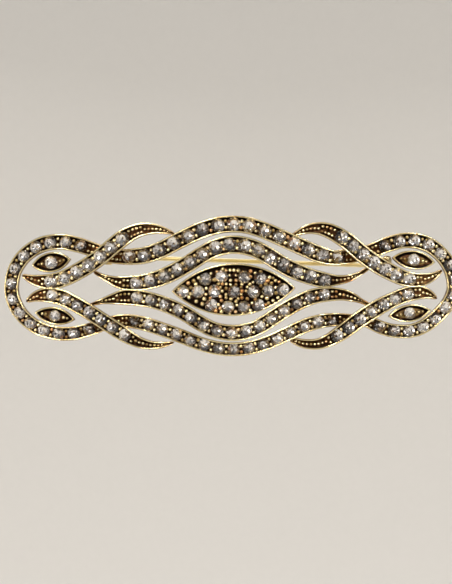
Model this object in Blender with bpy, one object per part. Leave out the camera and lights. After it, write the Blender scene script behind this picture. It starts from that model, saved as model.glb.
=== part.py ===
"""Rhinestone hair clip: an openwork frame of interlaced channel bands set with round stones,
a pave navette in its middle, and a hinged wire with a locking catch on its back.

Built as worn: +X along the clip, +Z up, the stones facing -Y and the hair behind, at +Y.
The origin is the middle of the space that holds the hair, between the frame and the wire, on
the wire's line.

Sizes are in millimetres until place() turns them into metres. A point of the design is
(u, v, w): u to the right and v up in the plane of the face, w out of it, towards the viewer.
"""

import math

import bmesh
import bpy
import numpy as np
from mathutils import Matrix, Vector

MM = 0.001

# Frame
BACK_STANDOFF = 3.0      # from the origin to the frame's back, at its middle
WIRE_V = 5.96            # the wire's height above the face's centre line, at its middle
BOW_RADIUS = 240.0       # the frame is bowed to the head, so its ends fall back
BAND_THICKNESS = 1.7
FLOOR_HEIGHT = 0.7       # of a band's channel, above the band's back
RIM_WIDTH = 0.3
STATION_STEP = 2.0       # between the cross-sections of a band
SEAM = 0.06              # what soldered neighbours keep between them here
ROUND_SIDES = 16

# Stones
STONE_SIDES = 8
STONE_DIAMETER = 2.4     # a common round chaton size
STONE_GIRDLE = 1.45      # height of the girdle's upper edge above the channel's floor
STONE_TOP = 1.95 - FLOOR_HEIGHT + 0.15
CEMENT = (0.09, 0.5)     # bottom and top of the cement bed, above the channel's floor
TABLE_SHARE = 0.55       # of the stone's width

# Wire clip on the back
HINGE_AT = (-25.5, 6.8)  # u, v of the hinge's pin
CATCH_AT = (30.3, 4.95)
WIRE_DIAMETER = 0.9
WIRE_DEPTH = 6.4         # behind the frame's back, at its middle
WIRE_PAST_CATCH = 2.6
PIN_RADIUS = 0.47
PIN_BORE = 0.53

ANTIQUE_GOLD = ("antique_gold", (0.48, 0.34, 0.13), 0.35, 1.0)
CRYSTAL = ("crystal", (0.86, 0.84, 0.86), 0.05, 0.0)
CLIP_GOLD = ("clip_gold", (0.72, 0.56, 0.26), 0.25, 1.0)


# ---------------------------------------------------------------- the design's frame

def bow(u):
    """How far the bowed frame has fallen back at u."""
    return u * u / (2 * BOW_RADIUS)


def place(u, v, w):
    """World position, in metres, of a point of the face."""
    return Vector((u, bow(u) - w - BACK_STANDOFF, v - WIRE_V)) * MM


def material(name, colour, roughness, metallic):
    made = bpy.data.materials.get(name)
    if made is None:
        made = bpy.data.materials.new(name)
        made.use_nodes = True
        shader = made.node_tree.nodes["Principled BSDF"]
        shader.inputs["Base Color"].default_value = (*colour, 1.0)
        shader.inputs["Roughness"].default_value = roughness
        shader.inputs["Metallic"].default_value = metallic
    return made


def add_object(name, bm, finish, parent=None, smooth=True):
    """Puts a bmesh in the scene as one named piece, its faces pointing outwards."""
    bmesh.ops.recalc_face_normals(bm, faces=bm.faces)
    mesh = bpy.data.meshes.new(name)
    bm.to_mesh(mesh)
    bm.free()
    mesh.materials.append(material(*finish))
    if smooth:
        mesh.shade_smooth()
        mesh.set_sharp_from_angle(angle=math.radians(35))
    piece = bpy.data.objects.new(name, mesh)
    bpy.context.scene.collection.objects.link(piece)
    piece.parent = parent
    return piece


def join_rings(rings, closed=False):
    """A closed solid skinned over rings of points, each with the same number of points."""
    bm = bmesh.new()
    loops = [[bm.verts.new(p) for p in ring] for ring in rings]
    pairs = list(zip(loops, loops[1:]))
    if closed:
        pairs.append((loops[-1], loops[0]))
    for near, far in pairs:
        count = len(near)
        for i in range(count):
            j = (i + 1) % count
            bm.faces.new((near[i], near[j], far[j], far[i]))
    if not closed:
        bm.faces.new(loops[0])
        bm.faces.new(loops[-1])
    return bm


# ---------------------------------------------------------------- bands

def smooth_route(points, step=STATION_STEP):
    """Rows of (u, v, width, lift) at even steps along a Catmull-Rom curve through points."""
    p = np.array(points, float)
    p = np.vstack([2 * p[0] - p[1], p, 2 * p[-1] - p[-2]])
    t = np.linspace(0, 1, 24, endpoint=False)[:, None]
    runs = []
    for a, b, c, d in zip(p, p[1:], p[2:], p[3:]):
        runs.append(0.5 * (2 * b + (c - a) * t + (2 * a - 5 * b + 4 * c - d) * t ** 2
                           + (3 * b - a - 3 * c + d) * t ** 3))
    fine = np.vstack([*runs, p[-2]])
    along = np.concatenate([[0], np.cumsum(np.linalg.norm(np.diff(fine[:, :2], axis=0), axis=1))])
    at = np.linspace(0, along[-1], max(3, round(along[-1] / step) + 1))
    return np.stack([np.interp(at, along, fine[:, k]) for k in range(fine.shape[1])], axis=1)


def sideways(stations):
    """Unit vectors in the face's plane, square to the route at each station."""
    run = np.gradient(stations[:, :2], axis=0)
    run /= np.linalg.norm(run, axis=1)[:, None]
    return np.stack([-run[:, 1], run[:, 0]], axis=1)


def sweep(stations, section):
    """Carries section(width, lift), a ring of (across, height), along the stations."""
    rings = []
    for (u, v, width, lift), (nu, nv) in zip(stations, sideways(stations)):
        rings.append([place(u + across * nu, v + across * nv, height)
                      for across, height in section(width, lift)])
    return join_rings(rings)


def channel_section(width, lift):
    """A band's outline: a flat back, two rims and the sunk floor that the stones stand on."""
    half = width / 2
    inner = half - min(RIM_WIDTH, 0.6 * half)
    top, floor = lift + BAND_THICKNESS, lift + FLOOR_HEIGHT
    return [(-half, lift), (half, lift), (half, top), (inner, top),
            (inner, floor), (-inner, floor), (-inner, top), (-half, top)]


def point_along(stations, distance):
    """(u, v, width, lift) and the route's direction at a distance from its start."""
    along = np.concatenate([[0], np.cumsum(np.linalg.norm(np.diff(stations[:, :2], axis=0), axis=1))])
    here = [np.interp(distance, along, stations[:, k]) for k in range(4)]
    i = min(int(np.searchsorted(along, distance, side="right")) - 1, len(along) - 2)
    run = stations[i + 1, :2] - stations[i, :2]
    return here, math.atan2(run[1], run[0]), along[-1]


def gem(u, v, radius, turn, bottom, girdle, top):
    """A stone: an eight-sided girdle under a sloping crown and a flat table."""
    angles = [turn + (i + 0.5) * math.tau / STONE_SIDES for i in range(STONE_SIDES)]
    levels = ((radius, bottom), (radius, girdle), (TABLE_SHARE * radius, top))
    return join_rings([[place(u + r * math.cos(a), v + r * math.sin(a), w) for a in angles]
                       for r, w in levels])


def hidden_gem(name, *sizes):
    """A stone that only serves as the other half of a Boolean."""
    piece = add_object(name, gem(*sizes), CRYSTAL, smooth=False)
    piece.hide_render = True
    piece.display_type = "WIRE"
    return piece


def cement_section(radius):
    def section(_, lift):
        low, high = (lift + FLOOR_HEIGHT + h for h in CEMENT)
        half = 0.6 * radius
        return [(-half, low), (half, low), (half, high), (-half, high)]
    return section


def add_stone_row(name, route, count, margins, radius):
    """A band's stones, joined into one piece by the bed of cement that they are set in."""
    stations = smooth_route(route)
    length = point_along(stations, 0)[2]
    first, last = margins[0], length - margins[1]
    bed_route = [point_along(stations, d)[0] for d in np.linspace(first, last, 2 * count - 1)]
    row = add_object(name, sweep(np.array(bed_route), cement_section(radius)), CRYSTAL, smooth=False)
    stones = bpy.data.collections.new(name + "_stones")
    bpy.context.scene.collection.children.link(stones)
    for i, distance in enumerate(np.linspace(first, last, count)):
        (u, v, _, lift), turn, _ = point_along(stations, distance)
        floor = lift + FLOOR_HEIGHT
        stone = hidden_gem(f"{name}_{i + 1}", u, v, radius, turn, floor + CEMENT[0] + 0.15,
                           floor + STONE_GIRDLE - 0.6, floor + STONE_TOP)
        bpy.context.scene.collection.objects.unlink(stone)
        stones.objects.link(stone)
    union = row.modifiers.new("set_stones", "BOOLEAN")
    union.operation = "UNION"
    union.operand_type = "COLLECTION"
    union.collection = stones
    union.solver = "EXACT"


# Each band's route runs through (u, v, width, lift). A lift under 0 takes it behind the band
# that crosses it there, and one over 0 brings it in front.

LEFT_LOOP = [
    (-25.6, 7.35, 2.6, -1.05), (-27.4, 7.9, 2.8, -1.05), (-29.2, 8.45, 3.0, -0.9),
    (-31.2, 9.05, 3.1, -0.4), (-34.6, 9.65, 3.1, 0), (-38.4, 9.15, 3.1, 0),
    (-41.8, 7.15, 3.0, 0), (-44.0, 4.15, 2.9, 0), (-44.75, 0.6, 2.85, 0), (-44.2, -2.4, 2.85, 0),
    (-42.45, -5.2, 2.8, 0), (-39.35, -7.55, 2.8, 0), (-35.6, -8.65, 2.75, 0),
    (-32.2, -8.7, 2.75, -0.1), (-29.8, -8.2, 2.7, -0.5), (-27.6, -7.5, 2.6, -1.05),
    (-25.7, -6.75, 2.5, -1.05),
]
RIGHT_LOOP = [
    (25.4, 7.2, 2.6, -1.05), (27.2, 7.7, 2.8, -1.05), (29.0, 8.35, 3.0, -0.9),
    (31.2, 9.2, 3.1, -0.4), (34.6, 9.95, 3.1, 0), (38.4, 9.4, 3.1, 0), (41.6, 7.35, 3.0, 0),
    (43.75, 4.3, 2.9, 0), (44.5, 0.8, 2.8, 0), (43.7, -2.0, 2.8, 0), (41.85, -4.45, 2.8, 0),
    (38.95, -6.85, 2.8, 0), (35.8, -8.15, 2.75, 0), (32.4, -8.2, 2.75, -0.1),
    (29.8, -7.6, 2.7, -0.5), (27.4, -6.5, 2.6, -1.05), (25.6, -5.6, 2.5, -1.05),
]
UPPER_LEFT_CROSS = [
    (-42.2, 2.85, 0.8, 0), (-40.6, 2.22, 1.6, 0), (-38.5, 1.8, 2.5, 0), (-36.5, 1.8, 3.1, 0),
    (-34.3, 2.2, 3.25, 0.1), (-31.9, 3.25, 3.35, 0.4), (-28.8, 5.0, 3.35, 0.75),
    (-26.25, 6.8, 3.35, 0.8), (-24.1, 8.6, 3.35, 0.8), (-22.3, 10.05, 3.3, 0.68),
    (-20.4, 11.25, 3.0, 0.3), (-18.3, 12.0, 2.6, 0), (-16.1, 12.15, 2.1, 0),
    (-14.2, 11.9, 1.5, 0), (-13.0, 11.6, 0.7, 0),
]
UPPER_RIGHT_CROSS = [
    (41.5, 3.65, 0.7, 0), (40.2, 2.8, 1.6, 0), (38.3, 2.15, 2.5, 0), (36.4, 1.98, 2.95, 0),
    (34.2, 2.35, 3.15, 0.1), (31.9, 3.3, 3.3, 0.4), (28.9, 4.85, 3.4, 0.75),
    (26.2, 6.65, 3.4, 0.8), (24.1, 8.4, 3.4, 0.8), (22.3, 9.85, 3.35, 0.68),
    (20.4, 11.1, 3.2, 0.3), (18.3, 12.0, 2.85, 0), (16.2, 12.25, 2.3, 0), (14.3, 12.15, 1.3, 0),
    (13.0, 11.85, 0.7, 0),
]
LOWER_LEFT_CROSS = [
    (-41.5, -2.2, 0.7, 0), (-39.9, -1.6, 1.5, 0), (-38.0, -1.3, 2.3, 0), (-36.3, -1.35, 2.7, 0),
    (-34.3, -1.65, 3.0, 0.1), (-32.1, -2.55, 3.05, 0.4), (-29.3, -4.05, 3.05, 0.75),
    (-26.8, -5.6, 3.05, 0.8), (-24.3, -7.2, 3.05, 0.8), (-22.2, -8.55, 3.0, 0.68),
    (-20.4, -9.65, 2.6, 0.3), (-18.5, -10.5, 2.2, 0), (-16.5, -10.95, 1.75, 0),
    (-14.6, -10.95, 1.3, 0), (-13.2, -10.8, 0.7, 0),
]
LOWER_RIGHT_CROSS = [
    (40.6, -1.65, 0.7, 0), (39.3, -1.0, 1.5, 0), (37.6, -0.75, 2.2, 0), (36.0, -0.85, 2.6, 0),
    (34.3, -1.1, 2.85, 0.1), (32.1, -1.85, 3.0, 0.4), (29.4, -3.15, 3.2, 0.75),
    (26.9, -4.65, 3.25, 0.8), (24.5, -6.25, 3.25, 0.8), (22.45, -7.75, 3.15, 0.68),
    (20.6, -9.05, 2.95, 0.3), (18.6, -10.15, 2.5, 0), (16.6, -10.75, 2.15, 0),
    (14.6, -10.9, 1.4, 0), (13.1, -10.65, 0.7, 0),
]
UPPER_OUTER_WAVE = [
    (-25.0, 7.1, 2.6, -1.05), (-23.4, 6.75, 2.8, -1.05), (-21.8, 6.6, 3.1, -0.75),
    (-20.0, 6.65, 3.25, -0.35), (-17.4, 6.95, 3.3, 0), (-14.4, 8.0, 3.3, 0),
    (-10.6, 9.9, 3.3, 0), (-6.6, 11.75, 3.3, 0), (-3.0, 12.8, 3.3, 0), (0, 13.05, 3.3, 0),
    (3.0, 12.75, 3.3, 0), (6.6, 11.6, 3.3, 0), (10.6, 9.85, 3.3, 0), (14.4, 8.15, 3.3, 0),
    (17.4, 6.95, 3.3, 0), (20.0, 6.4, 3.0, -0.35), (21.8, 6.55, 3.0, -0.75),
    (23.4, 6.65, 2.8, -1.05), (24.8, 6.95, 2.6, -1.05),
]
LOWER_OUTER_WAVE = [
    (-25.1, -6.5, 2.4, -1.05), (-23.4, -6.2, 2.4, -1.05), (-21.8, -6.15, 2.6, -1.1),
    (-20.0, -6.3, 2.75, -0.8), (-17.4, -6.8, 2.8, 0), (-14.4, -7.75, 2.8, 0),
    (-10.6, -9.1, 2.8, 0), (-6.6, -10.65, 2.75, 0), (-3.0, -11.55, 2.7, 0), (0, -11.75, 2.7, 0),
    (3.0, -11.5, 2.7, 0), (6.6, -10.5, 2.75, 0), (10.6, -8.75, 2.8, 0), (14.4, -7.05, 2.8, 0),
    (17.4, -6.2, 2.8, -0.15), (20.0, -5.95, 2.7, -1.0), (21.8, -5.9, 2.5, -1.15),
    (23.4, -6.0, 2.4, -1.15), (25.0, -6.25, 2.3, -1.15),
]
UPPER_INNER_WAVE = [
    (-28.0, 3.7, 0.7, -1.05), (-26.8, 3.0, 0.9, -1.0), (-25.2, 2.3, 1.4, -0.4),
    (-23.2, 1.6, 2.3, 0), (-21.0, 1.35, 2.9, 0), (-18.4, 1.45, 3.15, 0), (-15.4, 2.1, 3.3, 0),
    (-12.2, 3.4, 3.4, 0), (-9.2, 5.05, 3.4, 0), (-6.4, 6.85, 3.4, 0), (-3.6, 8.3, 3.5, 0),
    (0, 9.0, 3.6, 0), (3.6, 8.4, 3.5, 0), (6.4, 7.05, 3.4, 0), (9.2, 5.3, 3.4, 0),
    (12.2, 3.75, 3.4, 0), (15.4, 2.6, 3.25, 0), (18.0, 2.0, 3.1, 0), (20.6, 1.95, 2.1, 0),
    (23.0, 2.35, 1.5, 0), (25.0, 3.15, 1.0, -0.6), (26.4, 3.95, 0.8, -1.05),
    (27.3, 4.6, 0.7, -1.05),
]
LOWER_INNER_WAVE = [
    (-28.8, -3.0, 0.6, -1.05), (-27.6, -2.65, 0.8, -1.0), (-26.0, -2.2, 1.3, -0.4),
    (-24.0, -1.85, 2.0, 0), (-21.8, -1.7, 2.5, 0), (-19.0, -1.85, 2.75, 0),
    (-16.0, -2.2, 2.9, 0), (-12.8, -3.2, 3.0, 0), (-9.6, -4.7, 3.1, 0), (-6.8, -6.45, 3.1, 0),
    (-3.8, -7.9, 3.1, 0), (0, -8.5, 3.2, 0), (3.8, -7.85, 3.1, 0), (6.8, -6.2, 3.1, 0),
    (9.6, -4.35, 3.1, 0), (12.8, -2.55, 3.0, 0), (16.0, -1.35, 2.9, 0), (18.8, -1.0, 2.6, 0),
    (21.6, -1.0, 2.2, 0), (23.8, -1.55, 1.7, 0), (25.4, -2.15, 1.1, -0.6),
    (26.8, -2.8, 0.8, -1.05), (27.8, -3.3, 0.6, -1.05),
]


def add_band(name, route, count, margins, radius):
    """A channel band and the row of stones in it; margins run from its ends to its end stones."""
    add_object(name + "_band", sweep(smooth_route(route), channel_section), ANTIQUE_GOLD)
    add_stone_row(name + "_stones", route, count, margins, radius)


def build_bands():
    full, small = STONE_DIAMETER / 2, 0.84 * STONE_DIAMETER / 2
    loop, slim = 0.87 * STONE_DIAMETER / 2, 0.88 * STONE_DIAMETER / 2
    add_band("left_loop", LEFT_LOOP, 14, (5.2, 3.4), loop)
    add_band("right_loop", RIGHT_LOOP, 14, (5.2, 4.0), loop)
    add_band("upper_left_cross", UPPER_LEFT_CROSS, 7, (5.8, 9.6), full)
    add_band("upper_right_cross", UPPER_RIGHT_CROSS, 7, (6.8, 9.0), full)
    add_band("lower_left_cross", LOWER_LEFT_CROSS, 7, (5.5, 8.9), small)
    add_band("lower_right_cross", LOWER_RIGHT_CROSS, 7, (5.9, 8.0), small)
    add_band("upper_outer_wave", UPPER_OUTER_WAVE, 15, (4.2, 4.1), full)
    add_band("lower_outer_wave", LOWER_OUTER_WAVE, 15, (5.3, 5.3), slim)
    add_band("upper_inner_wave", UPPER_INNER_WAVE, 15, (9.2, 9.9), full)
    add_band("lower_inner_wave", LOWER_INNER_WAVE, 15, (9.8, 10.3), slim)


# ---------------------------------------------------------------- navette settings

EYE = {"half_length": 12.3, "half_height": 5.25, "centre": (0.0, -0.1), "turn": 0.0}
EYE_DOME = 0.5           # how much higher the eye's floor stands in its middle
EYE_STONES = [
    (-5.7, 2.45), (-2.2, 2.65), (2.2, 2.65), (5.7, 2.45),
    (-9.8, 0.0), (-6.9, -0.25), (-3.7, -0.35), (0.0, -0.3), (3.7, -0.35), (6.9, -0.25), (9.8, 0.0),
    (-4.6, -3.05), (-1.4, -3.25), (1.9, -3.25), (5.0, -2.95),
]
SMALL_NAVETTES = {
    "upper_left": {"half_length": 4.0, "half_height": 1.95, "centre": (-36.55, 5.55), "turn": 9.0},
    "upper_right": {"half_length": 4.2, "half_height": 1.75, "centre": (36.05, 6.0), "turn": -6.0},
    "lower_left": {"half_length": 3.95, "half_height": 1.5, "centre": (-35.85, -5.2), "turn": -10.0},
    "lower_right": {"half_length": 4.15, "half_height": 1.5, "centre": (35.3, -4.65), "turn": 8.0},
}
ARC_STEPS = 14
SETTING_FLOOR = 0.7


def navette(half_length, half_height, inset, steps):
    """Two equal arcs that meet in points, moved inwards by inset."""
    radius = (half_length ** 2 + half_height ** 2) / (2 * half_height)
    drop = radius - half_height
    reach = math.acos(drop / (radius - inset))
    upper = [(-(radius - inset) * math.sin(a), (radius - inset) * math.cos(a) - drop)
             for a in np.linspace(-reach, reach, steps, endpoint=False)]
    return upper + [(-x, -y) for x, y in upper]


def setting(shape, steps, dome=0.0):
    """A navette dish: flat back, upright rim and a floor that may be domed."""
    cu, cv = shape["centre"]
    c, s = math.cos(math.radians(shape["turn"])), math.sin(math.radians(shape["turn"]))

    def ring(inset, height, share=1.0):
        outline = navette(shape["half_length"], shape["half_height"], inset, steps)
        return [place(cu + share * (x * c - y * s), cv + share * (x * s + y * c), height)
                for x, y in outline]

    rings = [ring(0, 0), ring(0, BAND_THICKNESS), ring(RIM_WIDTH, BAND_THICKNESS),
             ring(RIM_WIDTH, SETTING_FLOOR)]
    if dome:
        rings += [ring(RIM_WIDTH, SETTING_FLOOR + dome * (1 - share ** 2), share)
                  for share in (0.6, 0.25)]
    return join_rings(rings)


def add_eye():
    add_object("centre_setting", setting(EYE, ARC_STEPS, EYE_DOME), ANTIQUE_GOLD)
    radius = 0.94 * STONE_DIAMETER / 2
    for i, (u, v) in enumerate(EYE_STONES):
        rise = EYE_DOME * max(0.0, 1 - (u / EYE["half_length"]) ** 2 - (v / EYE["half_height"]) ** 2)
        seat = SETTING_FLOOR + rise + 0.25
        add_object(f"pave_stone_{i + 1:02d}", gem(u, v, radius, 0, seat, seat + 0.55, seat + 1.0),
                   CRYSTAL, smooth=False)


def add_small_navettes():
    for place_name, shape in SMALL_NAVETTES.items():
        add_object(place_name + "_navette", setting(shape, 7), ANTIQUE_GOLD)
        seat = SETTING_FLOOR + SEAM
        stone = gem(*shape["centre"], 0.75 * shape["half_height"], 0, seat, seat + 0.8, seat + 1.2)
        add_object(place_name + "_navette_stone", stone, CRYSTAL, smooth=False)


# ---------------------------------------------------------------- wire clip on the back
# The clip's own frame has its origin on the hinge's pin: x along the wire, y backwards, z up.

CLIP_LENGTH = math.dist(HINGE_AT, CATCH_AT)
CLIP_SLOPE = math.atan2(CATCH_AT[1] - HINGE_AT[1], CATCH_AT[0] - HINGE_AT[0])
BASE_THICKNESS = 0.7


def disc(radius, low, high, centre=(0, 0), sides=ROUND_SIDES, axis="Z"):
    """A short cylinder about axis Z, or about X with its centre as (y, z)."""
    rings = []
    for level in (low, high):
        ring = []
        for i in range(sides):
            a = (i + 0.5) * math.tau / sides
            p, q = centre[0] + radius * math.cos(a), centre[1] + radius * math.sin(a)
            ring.append(Vector((p, q, level) if axis == "Z" else (level, p, q)) * MM)
        rings.append(ring)
    return join_rings(rings)


def block(low, high):
    bm = bmesh.new()
    bmesh.ops.create_cube(bm, size=1)
    size = Vector(high) - Vector(low)
    middle = (Vector(high) + Vector(low)) / 2
    bmesh.ops.transform(bm, matrix=Matrix.Translation(middle * MM) @ Matrix.Diagonal((*(size * MM), 1)),
                        verts=bm.verts)
    return bm


def back_of_frame(u, lift):
    """A band's back, less the seam, as y in the clip's own frame."""
    return bow(u) - lift - WIRE_DEPTH + SEAM


def base_plate(half_length, half_width, left, right):
    """A plate that lies on the frame's back, whose y is left at one end and right at the other."""
    ends = [(-half_length, left), (half_length, right)]
    return join_rings([[Vector(p) * MM for p in ((x, y, -half_width), (x, y + BASE_THICKNESS, -half_width),
                                                 (x, y + BASE_THICKNESS, half_width), (x, y, half_width))]
                       for x, y in ends])


def combine(piece, operation, shapes):
    """Adds or cuts shapes, given as (name, bmesh), with one Boolean each."""
    for name, bm in shapes:
        helper = add_object(f"{piece.name}_{name}", bm, CLIP_GOLD, piece.parent, smooth=False)
        helper.hide_render = True
        helper.display_type = "WIRE"
        step = piece.modifiers.new(name, "BOOLEAN")
        step.operation = operation
        step.object = helper
        step.solver = "EXACT"


def clip_frame(name, along):
    """An empty on the wire's line, at a distance from the hinge's pin."""
    empty = bpy.data.objects.new(name, None)
    bpy.context.scene.collection.objects.link(empty)
    u = HINGE_AT[0] + along * math.cos(CLIP_SLOPE)
    v = HINGE_AT[1] + along * math.sin(CLIP_SLOPE)
    empty.location = Vector((u, WIRE_DEPTH - BACK_STANDOFF, v - WIRE_V)) * MM
    empty.rotation_euler = (0, -CLIP_SLOPE, 0)
    return empty


HEAD_RADIUS = 1.25
HEAD_HALF = 0.55
EAR_GAP = 0.07
EAR_THICKNESS = 0.6
EAR_HALF_WIDTH = 1.3
HINGE_BASE_HALF = 1.9


def add_hinge(frame):
    """The hinge: a plate with two ears, soldered behind the crossing, and the pin riveted in them."""
    inner, outer = HEAD_HALF + EAR_GAP, HEAD_HALF + EAR_GAP + EAR_THICKNESS
    left, right = (back_of_frame(HINGE_AT[0] + x, -1.05) for x in (-HINGE_BASE_HALF, HINGE_BASE_HALF))
    bracket = add_object("hinge_bracket", base_plate(HINGE_BASE_HALF, 1.26, left, right), CLIP_GOLD, frame)
    foot = (left + right) / 2 + 0.3
    ears = []
    for name, low, high in (("upper_ear", inner, outer), ("lower_ear", -outer, -inner)):
        ears.append((name, block((-EAR_HALF_WIDTH, foot, low), (EAR_HALF_WIDTH, 0, high))))
        ears.append((name + "_end", disc(EAR_HALF_WIDTH, low, high)))
    combine(bracket, "UNION", ears)
    combine(bracket, "DIFFERENCE", [("pin_hole", disc(PIN_RADIUS + 0.03, -outer - 1, outer + 1))])

    pin = add_object("hinge_rivet", disc(PIN_RADIUS, -outer - 0.2, outer + 0.2), CLIP_GOLD, frame)
    heads = [("upper_head", disc(0.8, outer + 0.04, outer + 0.4)),
             ("lower_head", disc(0.8, -outer - 0.4, -outer - 0.04))]
    combine(pin, "UNION", heads)


def add_wire(frame):
    """The wire that closes over the hair: an eye on the hinge's pin and a blunt, rounded tip."""
    r = WIRE_DIAMETER / 2
    end = CLIP_LENGTH + WIRE_PAST_CATCH
    rings = []
    for x, radius in ((HEAD_RADIUS - 0.3, r), (end - r, r), (end - 0.35 * r, 0.76 * r), (end, 0.3 * r)):
        rings.append([Vector((x, radius * math.cos(a), radius * math.sin(a))) * MM
                      for a in (i * math.tau / 12 for i in range(12))])
    wire = add_object("clip_wire", join_rings(rings), CLIP_GOLD, frame)
    combine(wire, "UNION", [("eye", disc(HEAD_RADIUS, -HEAD_HALF, HEAD_HALF))])
    combine(wire, "DIFFERENCE", [("bore", disc(PIN_BORE, -2, 2))])


RING_OUTER, RING_INNER, RING_HALF = 1.75, 1.28, 0.6
CATCH_BASE_HALF = 1.4
ROTOR_RADIUS, ROTOR_BORE, FLANGE_RADIUS = 1.2, 0.62, 1.6
FLANGE_THICKNESS = 0.5
SLOT_HALF = 0.55
TAB_REACH = 2.5


def add_catch(frame):
    """The catch: a base, a stem and a ring that is open at the back for the wire."""
    left = back_of_frame(CATCH_AT[0] - CATCH_BASE_HALF, 0.72)
    right = back_of_frame(CATCH_AT[0] + CATCH_BASE_HALF, 0.3)
    catch = add_object("catch", base_plate(CATCH_BASE_HALF, 1.4, left, right), CLIP_GOLD, frame)
    foot = (left + right) / 2 + 0.3
    combine(catch, "UNION", [
        ("stem", block((-RING_HALF, foot, -0.7), (RING_HALF, -RING_INNER - 0.1, 0.7))),
        ("ring", disc(RING_OUTER, -RING_HALF, RING_HALF, sides=24, axis="X")),
    ])
    combine(catch, "DIFFERENCE", [
        ("ring_bore", disc(RING_INNER, -2, 2, sides=24, axis="X")),
        ("mouth", block((-2, 0, -0.7), (2, 3, 0.7))),
    ])


def add_lock(frame):
    """The lock: a slotted sleeve that turns in the catch's ring, held by a flange at each end."""
    inner = RING_HALF + 0.1
    outer = inner + FLANGE_THICKNESS
    lock = add_object("lock_sleeve", disc(ROTOR_RADIUS, -outer, outer, sides=24, axis="X"), CLIP_GOLD, frame)
    combine(lock, "UNION", [
        ("inner_flange", disc(FLANGE_RADIUS, -outer, -inner, sides=24, axis="X")),
        ("outer_flange", disc(FLANGE_RADIUS, inner, outer, sides=24, axis="X")),
        ("thumb_tab", block((inner, -0.4, -TAB_REACH), (outer, 0.4, -FLANGE_RADIUS + 0.3))),
    ])
    combine(lock, "DIFFERENCE", [
        ("bore", disc(ROTOR_BORE, -3, 3, axis="X")),
        ("slot", block((-3, 0, -SLOT_HALF), (3, 3, SLOT_HALF))),
    ])


def clear_scene():
    for piece in list(bpy.data.objects):
        bpy.data.objects.remove(piece, do_unlink=True)


clear_scene()
build_bands()
add_eye()
add_small_navettes()
hinge_frame = clip_frame("hinge_axis", 0)
catch_frame = clip_frame("catch_axis", CLIP_LENGTH)
add_hinge(hinge_frame)
add_wire(hinge_frame)
add_catch(catch_frame)
add_lock(catch_frame)
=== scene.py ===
import math

import bpy
import numpy as np
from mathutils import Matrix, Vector


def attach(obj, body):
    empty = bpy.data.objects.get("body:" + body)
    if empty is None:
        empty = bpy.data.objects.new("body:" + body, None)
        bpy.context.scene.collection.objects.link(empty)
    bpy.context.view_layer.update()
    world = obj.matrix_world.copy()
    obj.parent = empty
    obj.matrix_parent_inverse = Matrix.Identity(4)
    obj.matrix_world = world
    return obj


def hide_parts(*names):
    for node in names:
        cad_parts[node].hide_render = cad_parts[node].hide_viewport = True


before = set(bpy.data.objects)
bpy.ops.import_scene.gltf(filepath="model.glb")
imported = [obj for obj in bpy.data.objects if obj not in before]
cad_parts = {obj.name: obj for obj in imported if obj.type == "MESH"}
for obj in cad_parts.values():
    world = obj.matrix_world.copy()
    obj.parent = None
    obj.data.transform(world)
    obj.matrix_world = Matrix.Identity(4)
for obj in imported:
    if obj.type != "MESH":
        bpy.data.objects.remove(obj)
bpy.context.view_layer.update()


# ---- Stage, light and camera
# The clip is shown upright, its face to the front, in the middle of a round pale cove of matt
# board, so that it can be looked at from every side. Soft lamps stand in front, above and behind.

MM = 0.001                 # one millimetre in the scene's metres
COVE_FLOOR, COVE_RADIUS, COVE_HEIGHT, COVE_BEND = -0.36, 0.85, 1.0, 0.42
COVE_SPOKES, COVE_BEND_STEPS = 96, 17
BOARD_PALE, BOARD_GREY = "#dcdad6", "#d9d7d3"
BOARD_CLOUD_MM = 6.0
ROOM_LIGHT, ROOM_STRENGTH = "#e8eaee", 0.35
AIM = Vector((-0.0015, 0.0, -0.00636))
CAMERA_DISTANCE = 0.2447
LENS, FILM_WIDTH, NEAREST_SEEN = 74.8, 36, 0.01
LAMPS = (  # (place, width, height, watts, colour)
    ((-0.16, -0.42, 0.46), 0.16, 0.12, 3.6, "#fff8ee"),
    ((0.30, -0.36, 0.26), 0.10, 0.16, 1.5, "#f6f8ff"),
    ((0.02, 0.40, 0.52), 0.40, 0.20, 3.2, "#fffaf4"),
    ((-0.40, -0.20, -0.04), 0.08, 0.16, 0.7, "#fff6ea"),
)


def linear(hex_colour):
    """An sRGB hex colour as linear RGBA: c / 12.92 up to 0.04045, above it ((c + 0.055) / 1.055)^2.4."""
    c = np.array([int(hex_colour[i:i + 2], 16) for i in (1, 3, 5)]) / 255
    return (*np.where(c <= 0.04045, c / 12.92, ((c + 0.055) / 1.055) ** 2.4).tolist(), 1.0)


def node(tree, kind, links=None, sockets=None, **settings):
    """Adds a node, with its settings, its sockets' values and the links into it."""
    made = tree.nodes.new(kind)
    for key, value in settings.items():
        setattr(made, key, value)
    for key, value in (sockets or {}).items():
        made.inputs[key].default_value = value
    for key, source in (links or {}).items():
        tree.links.new(source, made.inputs[key])
    return made


def new_material(name):
    """An empty material's tree, its Principled shader and the Object coordinates."""
    made = bpy.data.materials.new(name)
    made.use_nodes = True
    tree = made.node_tree
    return made, tree, tree.nodes["Principled BSDF"], node(tree, "ShaderNodeTexCoord").outputs["Object"]


def matt_board():
    """Matt grey-white board: hardly any sheen, with a faint cloudiness in its tone."""
    made, tree, shader, where = new_material("matt_board")
    cloud = node(tree, "ShaderNodeTexNoise", {"Vector": where},
                 {"Scale": 1 / (BOARD_CLOUD_MM * MM), "Detail": 2.0})
    tone = node(tree, "ShaderNodeMix", {"Factor": cloud.outputs["Fac"]}, data_type="RGBA", blend_type="MIX")
    tone.inputs["A"].default_value = linear(BOARD_GREY)
    tone.inputs["B"].default_value = linear(BOARD_PALE)
    tree.links.new(tone.outputs["Result"], shader.inputs["Base Color"])
    shader.inputs["Roughness"].default_value = 0.85
    return made


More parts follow.
